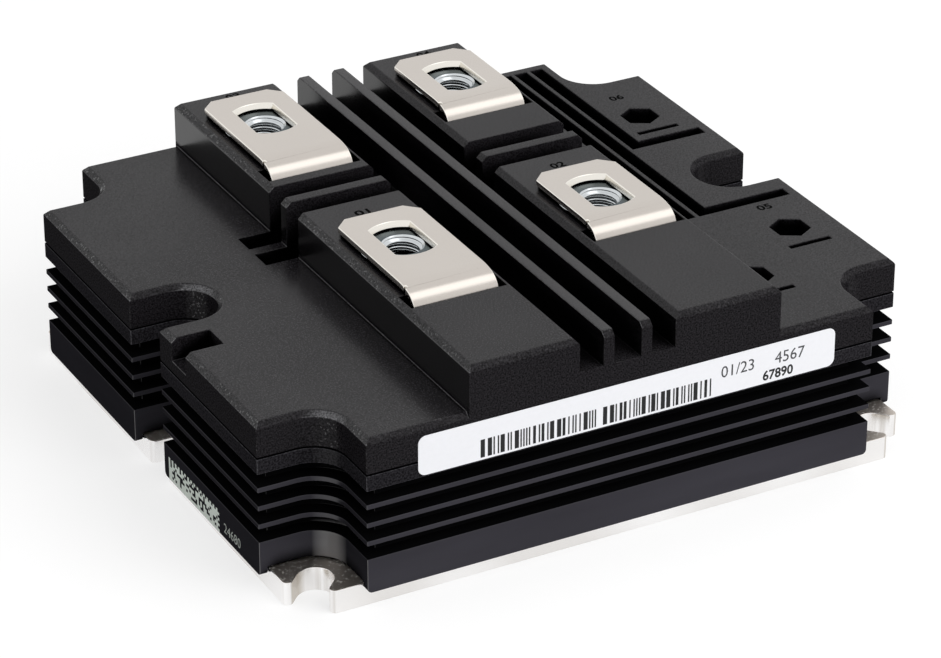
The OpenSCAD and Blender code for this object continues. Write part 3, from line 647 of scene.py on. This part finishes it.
def joined_copy(nodes):
    """Bmesh of CAD nodes that touch face to face, made one solid."""
    helpers = []
    for node in nodes:
        name = node + "_helper"
        helpers.append(add_object(name, mesh_of(name, welded_copy(node))))
    for other in helpers[1:]:
        union = helpers[0].modifiers.new("union", "BOOLEAN")
        union.operation = "UNION"
        union.solver = "EXACT"
        union.object = other
    solid = helpers[0].evaluated_get(bpy.context.evaluated_depsgraph_get()).to_mesh()
    bm = bmesh.new()
    bm.from_mesh(solid)
    for helper in helpers:
        mesh = helper.data
        bpy.data.objects.remove(helper)
        bpy.data.meshes.remove(mesh)
    return join_flat(bm)


def edge_layer(bm):
    """The face attribute that the finishes read, made where it is missing."""
    return bm.faces.layers.float.get("edge") or bm.faces.layers.float.new("edge")


def round_edges(bm, width):
    """Rounds the sharp edges and marks the new faces in the attribute that the finishes read."""
    mask = edge_layer(bm)
    sharp = [edge for edge in bm.edges if len(edge.link_faces) == 2 and edge.calc_face_angle() > SHARP_ANGLE]
    made = bmesh.ops.bevel(bm, geom=sharp, offset=width, offset_type="OFFSET", segments=2, profile=0.5,
                           affect="EDGES", clamp_overlap=False, material=-1)
    for face in made["faces"]:
        face[mask] = 1.0
    for face in bm.faces:
        face.smooth = True


def stand_in(name, bm, width, material, *nodes):
    """Piece that stands for CAD nodes, with the edges of its mesh rounded."""
    round_edges(bm, width)
    made = add_piece(name, bm, material, slot_of(nodes[0]))
    made.modifiers.new("flat_faces", "WEIGHTED_NORMAL")
    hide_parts(*nodes)


def rounded_copy(node, width, material):
    """Piece that stands for one CAD node and has its shape, with rounded edges."""
    stand_in(node + "_shell", welded_copy(node), width, material, node)


def slot_of(node):
    """The record's material slot of a CAD node."""
    return next(part["material_slot"] for part in frame["record"]["subparts"] if part["node"] == node)


def nearest_screw(place):
    """The screw whose upright axis is nearest to a place."""
    return min(SCREWS, key=lambda screw: (place - screw).xy.length)


def screw_reach(place):
    """Distance of a place from the nearest screw's axis."""
    return (place - nearest_screw(place)).xy.length


def set_reach(v, reach):
    """Moves a vertex level to a distance from the nearest screw's axis."""
    centre = nearest_screw(v.co)
    arm = (v.co - centre).xy
    arm *= reach / arm.length
    v.co.x, v.co.y = centre.x + arm.x, centre.y + arm.y


def text_bmesh(text, low, high, thickness, bold=0.0):
    """Bmesh of a text that fills a box in the XY plane, given in millimetres, with its back on z = 0."""
    curve = bpy.data.curves.new("digits", "FONT")
    curve.body = text
    curve.extrude = 0.5
    curve.offset = bold
    curve.resolution_u = 3
    holder = add_object("digits", curve)
    solid = bpy.data.meshes.new_from_object(holder.evaluated_get(bpy.context.evaluated_depsgraph_get()))
    bm = bmesh.new()
    bm.from_mesh(solid)
    bpy.data.objects.remove(holder)
    bpy.data.curves.remove(curve)
    bpy.data.meshes.remove(solid)
    start = Vector([min(v.co[axis] for v in bm.verts) for axis in range(3)])
    end = Vector([max(v.co[axis] for v in bm.verts) for axis in range(3)])
    goal = (*((Vector(high) - Vector(low)) * MM), thickness)
    stretch = Matrix.Diagonal((*[wanted / size for wanted, size in zip(goal, end - start)], 1.0))
    corner = Matrix.Translation((*(Vector(low) * MM), 0.0))
    bmesh.ops.transform(bm, matrix=corner @ stretch @ Matrix.Translation(-start), verts=bm.verts)
    bmesh.ops.remove_doubles(bm, verts=bm.verts, dist=WELD)
    return bm


def add_bar(bm, low, high, thickness):
    """Adds a flat block that fills a box in the XY plane, given in millimetres, with its back on z = 0."""
    size = (*((high - low) * MM), thickness)
    middle = (*((low + high) * MM / 2), thickness / 2)
    bmesh.ops.create_cube(bm, size=1.0, matrix=Matrix.Translation(middle) @ Matrix.Diagonal((*size, 1.0)))


class MODULE_OT_housing(bpy.types.Operator):
    """Round and finish the frame and the lid"""
    bl_idname = "module.housing"
    bl_label = "Housing"

    def execute(self, context):
        look = context.scene.module.housing
        stand_in("housing_lid_shell", joined_copy(LID_PARTS), look.lid_round, lid_plastic(look), *LID_PARTS)
        rounded_copy("housing_frame", look.frame_round, frame_plastic(look))
        return {"FINISHED"}


class MODULE_OT_baseplate(bpy.types.Operator):
    """Round and finish the baseplate"""
    bl_idname = "module.baseplate"
    bl_label = "Baseplate"

    def execute(self, context):
        look = context.scene.module.metal
        rounded_copy("baseplate", look.plate_round, plate_metal(look))
        return {"FINISHED"}


class MODULE_OT_terminals(bpy.types.Operator):
    """Round and finish the four bent terminals"""
    bl_idname = "module.terminals"
    bl_label = "Terminals"

    def execute(self, context):
        look = context.scene.module.metal
        material = nickel_metal(look)
        for node in TERMINALS:
            bm = welded_copy(node)
            self.taper_hole(bm, look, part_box(node)[1].z - look.strip_thickness)
            stand_in(node + "_shell", bm, look.strip_round, material, node)
        return {"FINISHED"}

    def taper_hole(self, bm, look, level):
        """Narrows the screw hole at its lower rim, as a punch leaves it, and marks its wall as an edge."""
        mask = edge_layer(bm)
        hole = {v for v in bm.verts if screw_reach(v.co) < look.hole_reach and v.co.z > level - WELD}
        for v in hole:
            if abs(v.co.z - level) < WELD:
                set_reach(v, screw_reach(v.co) - look.hole_taper)
        bm.normal_update()
        # The hole walls join the edges, which the nickel finish paints with a highlight
        for face in bm.faces:
            if abs(face.normal.z) < TOP_SLOPE and hole.issuperset(face.verts):
                face[mask] = 1.0


class MODULE_OT_nuts(bpy.types.Operator):
    """Round and finish the nuts and cut their threads"""
    bl_idname = "module.nuts"
    bl_label = "Nuts"

    def execute(self, context):
        look = context.scene.module.metal
        # The nuts' tops take a painted shade
        material = zinc_metal("zinc_steel", look, look.zinc_shade)
        bright = zinc_metal("zinc_collar", look, look.zinc)
        shell = welded_copy("terminal_nuts")
        self.open_bores(shell, look)
        stand_in("terminal_nuts_shell", shell, look.nut_round, material, "terminal_nuts")
        add_piece("nut_threads", self.threads(look), material, slot_of("terminal_nuts"))
        add_piece("nut_collars", self.collars(look), bright, slot_of("terminal_nuts"))
        return {"FINISHED"}

    def collars(self, look):
        """Flat rings that lie round the nuts on their blocks."""
        bm = bmesh.new()
        inner, outer, height, slope = look.collar_in, look.collar_out, look.collar_height, look.collar_slope
        outline = ((inner, 0.0), (outer, 0.0), (outer, height - slope), (outer - slope, height),
                   (inner, height))
        for centre in SCREWS:
            corners = [bm.verts.new((centre.x + radius, centre.y, BLOCK_Z + level))
                       for radius, level in outline]
            sides = [bm.edges.new((corners[i - 1], corners[i])) for i in range(len(corners))]
            bmesh.ops.spin(bm, geom=[*corners, *sides], cent=(centre.x, centre.y, 0.0), axis=(0.0, 0.0, 1.0),
                           angle=2 * math.pi, steps=COLLAR_STEPS, use_merge=True)
        bmesh.ops.recalc_face_normals(bm, faces=bm.faces)
        return bm

    def open_bores(self, bm, look):
        """Takes the plain bores and countersinks out of the nuts."""
        bores = [face for face in bm.faces if abs(face.normal.z) < TOP_SLOPE
                 and screw_reach(face.calc_center_median()) < look.thread_mouth]
        bmesh.ops.delete(bm, geom=bores, context="FACES")

    def threads(self, look):
        """Threads with countersinks, one in each nut."""
        bm = bmesh.new()
        for centre in SCREWS:
            self.thread(bm, look, centre)
        bmesh.ops.remove_doubles(bm, verts=bm.verts, dist=WELD)
        for level, way in ((NUTS_LOW.z, -1), (NUTS_HIGH.z, 1)):
            bmesh.ops.bisect_plane(bm, geom=[*bm.verts, *bm.edges, *bm.faces], dist=WELD,
                                   plane_co=(0, 0, level), plane_no=(0, 0, way), clear_outer=True)
        self.countersink(bm, look)
        self.turn_inwards(bm)
        for face in bm.faces:
            face.smooth = True
        return bm

    def thread(self, bm, look, centre):
        """Adds one thread, longer than the nut at both ends: a notch of one pitch, swept up a helix."""
        crest, root, pitch = look.thread_minor, look.thread_major, look.thread_pitch
        start = NUTS_LOW.z - pitch
        outline = [(crest, 0.0), (crest, 0.25), (root, 0.5625), (root, 0.6875), (crest, 1.0)]
        corners = [bm.verts.new((centre.x + radius, centre.y, start + share * pitch))
                   for radius, share in outline]
        sides = [bm.edges.new(pair) for pair in zip(corners, corners[1:])]
        bmesh.ops.subdivide_edges(bm, edges=sides, cuts=3)
        turns = math.ceil((NUTS_HIGH.z - NUTS_LOW.z) / pitch) + 1
        loose = [part for part in (*bm.verts, *bm.edges) if not part.link_faces]
        bmesh.ops.spin(bm, geom=loose, cent=centre, axis=(0, 0, 1), dvec=(0, 0, pitch / THREAD_STEPS),
                       angle=2 * math.pi * turns, steps=THREAD_STEPS * turns)

    def countersink(self, bm, look):
        """Widens the ends of the threads to cones."""
        depth = look.thread_mouth - look.thread_minor
        for v in bm.verts:
            inside = min(v.co.z - NUTS_LOW.z, NUTS_HIGH.z - v.co.z)
            cone = look.thread_mouth - inside
            if inside < depth and screw_reach(v.co) < cone:
                set_reach(v, cone)

    def turn_inwards(self, bm):
        """Points every face of the threads at its axis."""
        bm.normal_update()
        wrong = []
        for face in bm.faces:
            middle = face.calc_center_median()
            if face.normal.xy.dot((middle - nearest_screw(middle)).xy) > 0:
                wrong.append(face)
        bmesh.ops.reverse_faces(bm, faces=wrong)


class MODULE_OT_label(bpy.types.Operator):
    """Make the label with its barcode and numbers"""
    bl_idname = "module.label"
    bl_label = "Label"

    def execute(self, context):
        look = context.scene.module.marking
        rounded_copy("front_label", look.film_round, print_finish("label", look.film, 0.35))
        black = print_finish("black_ink", look.ink, 0.5)
        grey_ink = print_finish("grey_ink", look.grey_ink, 0.5)
        self.put("label_barcode", self.barcode(look), black)
        for name, text, box, bold, ink in (
            ("label_number_left", look.number_left, NUMBER_LEFT, 0.0, grey_ink),
            ("label_number_right", look.number_right, NUMBER_RIGHT, 0.0, grey_ink),
            ("label_number_bold", look.number_bold, NUMBER_BOLD, BOLD, black),
        ):
            self.put(name, text_bmesh(text, *box, look.ink_height, bold), ink)
        return {"FINISHED"}

    def put(self, name, bm, ink):
        """Adds print that was drawn from the label's lower left corner."""
        bmesh.ops.transform(bm, matrix=Matrix.Translation(LABEL_CORNER) @ ON_FRONT, verts=bm.verts)
        add_piece(name, bm, ink, slot_of("front_label"))

    def barcode(self, look):
        """Two groups of bars of drawn widths."""
        draw = random.Random(look.seed)
        bm = bmesh.new()
        for left, end in BAR_GROUPS:
            while left < end - min(BAR_WIDTHS):
                width = min(draw.choice(BAR_WIDTHS), end - left)
                add_bar(bm, Vector((left, BAR_LOW)), Vector((left + width, BAR_HIGH)), look.ink_height)
                left += width + draw.choice(BAR_GAPS)
        return bm


class MODULE_OT_marks(bpy.types.Operator):
    """Make the small marks on the mouldings"""
    bl_idname = "module.marks"
    bl_label = "Marks"

    def execute(self, context):
        look = context.scene.module.marking
        self.skirt_marks(look)
        self.top_marks(look)
        return {"FINISHED"}

    def skirt_marks(self, look):
        """Code and number on the left side of the skirt."""
        pale = print_finish("pale_mark", look.mark, 0.6)
        dim = print_finish("dim_mark", shade(look.mark, 0.5), 0.6)
        digits = text_bmesh(look.number_skirt, *NUMBER_SKIRT, look.ink_height)
        side = Matrix.Translation((FRAME_LOW.x, 0.0, 0.0))
        for name, bm, material in (("skirt_code", self.code(look), pale), ("skirt_number", digits, dim)):
            bmesh.ops.transform(bm, matrix=side @ ON_LEFT, verts=bm.verts)
            add_piece(name, bm, material, slot_of("housing_frame"))

    def code(self, look):
        """Grid of cells filled by draw: solid lower and left edges, every other cell along the other two."""
        draw = random.Random(look.seed + 1)
        bm = bmesh.new()
        for row in range(CODE_ROWS):
            for column in range(CODE_COLUMNS):
                filled = draw.random() < CODE_SHARE
                if row == CODE_ROWS - 1 or column == CODE_COLUMNS - 1:
                    filled = (row + column) % 2 == 1
                if row == 0 or column == 0 or filled:
                    low = CODE_CORNER + Vector((column * CODE_CELL.x, row * CODE_CELL.y))
                    add_bar(bm, low, low + CELL_SHARE * CODE_CELL, look.ink_height)
        return bm

    def top_marks(self, look):
        """Digits on the deck and on the blocks, painted dark as the shade inside engraved digits."""
        dark = print_finish("engraved_digit_shade", look.engraved_digit_shade, 0.6, 0.0)
        for digits, x, y, level in TOP_MARKS:
            low = Vector((x, y)) - MARK_SIZE / 2
            bm = text_bmesh(digits, low, low + MARK_SIZE, look.ink_height, BOLD)
            bmesh.ops.translate(bm, vec=(0.0, 0.0, level), verts=bm.verts)
            add_piece("top_mark_" + digits, bm, dark, slot_of("housing_lid"))


class MODULE_OT_interior(bpy.types.Operator):
    """Finish the seals, the gel and the power circuit inside the housing"""
    bl_idname = "module.interior"
    bl_label = "Interior"

    def execute(self, context):
        look = context.scene.module.interior
        adhesive = inner_finish("adhesive", look.adhesive_dark, look.adhesive_pale, 700, 0.0, 0.45)
        for node in ("base_seal", "lid_seal"):
            self.coat(node, adhesive)
        self.coat("silicone_gel", inner_finish("gel", look.gel_dark, look.gel_pale, 60, 0.0, 0.15))
        finishes = {
            "backside_copper": inner_finish("back_copper", look.back_dark, look.back_pale, 900, 1.0, 0.3),
            "ceramic_tile": inner_finish("ceramic", look.ceramic_dark, look.ceramic_pale, 1500, 0.0, 0.5),
            "circuit_copper": inner_finish("circuit_copper", look.circuit_dark, look.circuit_pale,
                                           700, 1.0, 0.25),
            "diode_chips": inner_finish("silicon", look.chip_dark, look.chip_pale, 500, 0.6, 0.15),
            "bond_wires": inner_finish("bond_aluminium", look.wire_dark, look.wire_pale, 2500, 1.0, 0.3),
        }
        for kind, material in finishes.items():
            for tile in TILES:
                self.coat(kind + "_" + tile, material)
        return {"FINISHED"}

    def coat(self, node, material):
        """Gives a CAD node its finish."""
        slots = frame["nodes"][node].data.materials
        slots.clear()
        slots.append(material)


class MODULE_OT_stage(bpy.types.Operator):
    """Make the floor, the lamps, the sky and the camera"""
    bl_idname = "module.stage"
    bl_label = "Stage"

    def execute(self, context):
        look = context.scene.module.stage
        context.scene.view_settings.view_transform = "Standard"
        self.sky(context, look)
        self.floor(look)
        self.lamp("key", look.key_power, look.key_place, look.key_size)
        self.lamp("fill", look.fill_power, look.fill_place, look.fill_size).visible_glossy = False
        self.camera(context, look)
        return {"FINISHED"}

    def sky(self, context, look):
        """White where it is seen, dimmer as a light."""
        world = bpy.data.worlds.new("sky")
        world.use_nodes = True
        context.scene.world = world
        nodes = Nodes(world.node_tree)
        strength = look.sky + (1.0 - look.sky) * nodes.seen_ray()
        light = nodes.node("ShaderNodeBackground", None, {"Color": WHITE, "Strength": strength})
        nodes.node("ShaderNodeOutputWorld", None, {"Surface": light}, None)

    def floor(self, look):
        """Pale floor that keeps the shadow."""
        bm = bmesh.new()
        bmesh.ops.create_grid(bm, x_segments=1, y_segments=1, size=FLOOR_REACH,
                              matrix=Matrix.Translation((0, 0, PLATE_Z - FLOOR_GAP)))
        ground = add_object("floor", mesh_of("floor", bm))
        material = bpy.data.materials.new("floor")
        material.use_nodes = True
        nodes = Nodes(material.node_tree)
        paint = nodes.node("ShaderNodeBsdfDiffuse", None, {"Color": opaque(look.floor)})
        strength = look.floor_share * nodes.seen_ray()
        glow = nodes.node("ShaderNodeEmission", None, {"Color": WHITE, "Strength": strength})
        both = nodes.node("ShaderNodeAddShader", None, {0: paint, 1: glow})
        nodes.node("ShaderNodeOutputMaterial", None, {"Surface": both}, None)
        ground.data.materials.append(material)

    def lamp(self, name, power, place, size):
        """Square lamp that faces the module."""
        data = bpy.data.lights.new(name, "AREA")
        data.shape = "SQUARE"
        data.size = size
        data.energy = power
        lamp = add_object(name, data)
        lamp.location = place
        lamp.rotation_euler = (-Vector(place)).to_track_quat("-Z", "Y").to_euler()
        return lamp

    def camera(self, context, look):
        """Camera at the photograph's place."""
        data = bpy.data.cameras.new("camera")
        data.sensor_fit = "HORIZONTAL"
        data.sensor_width = SENSOR
        data.lens = look.lens
        data.clip_start = 0.01
        data.clip_end = 50.0
        camera = add_object("camera", data)
        camera.location = look.eye
        camera.rotation_euler = Vector(look.aim).to_track_quat("-Z", "Y").to_euler()
        context.scene.camera = camera


STEPS = (
    MODULE_OT_housing,
    MODULE_OT_baseplate,
    MODULE_OT_terminals,
    MODULE_OT_nuts,
    MODULE_OT_label,
    MODULE_OT_marks,
    MODULE_OT_interior,
    MODULE_OT_stage,
)


class MODULE_PT_steps(bpy.types.Panel):
    """Steps that dress the module, in order"""
    bl_idname = "MODULE_PT_steps"
    bl_label = "Power diode module"
    bl_space_type = "VIEW_3D"
    bl_region_type = "UI"
    bl_category = "Module"

    def draw(self, context):
        for step in STEPS:
            self.layout.operator(step.bl_idname)


SETTINGS = (HousingSettings, MetalSettings, MarkingSettings, InteriorSettings, StageSettings, ModuleSettings)
CLASSES = (*SETTINGS, *STEPS, MODULE_PT_steps)


def register():
    """Registers the classes and hangs the settings on the scene."""
    for part in CLASSES:
        bpy.utils.register_class(part)
    bpy.types.Scene.module = PointerProperty(type=ModuleSettings)


def unregister():
    """Takes the settings and the classes away again."""
    del bpy.types.Scene.module
    for part in reversed(CLASSES):
        bpy.utils.unregister_class(part)


def main():
    """Dresses the module."""
    register()
    bpy.ops.module.housing()
    bpy.ops.module.baseplate()
    bpy.ops.module.terminals()
    bpy.ops.module.nuts()
    bpy.ops.module.label()
    bpy.ops.module.marks()
    bpy.ops.module.interior()
    bpy.ops.module.stage()


if __name__ == "__main__":
    main()
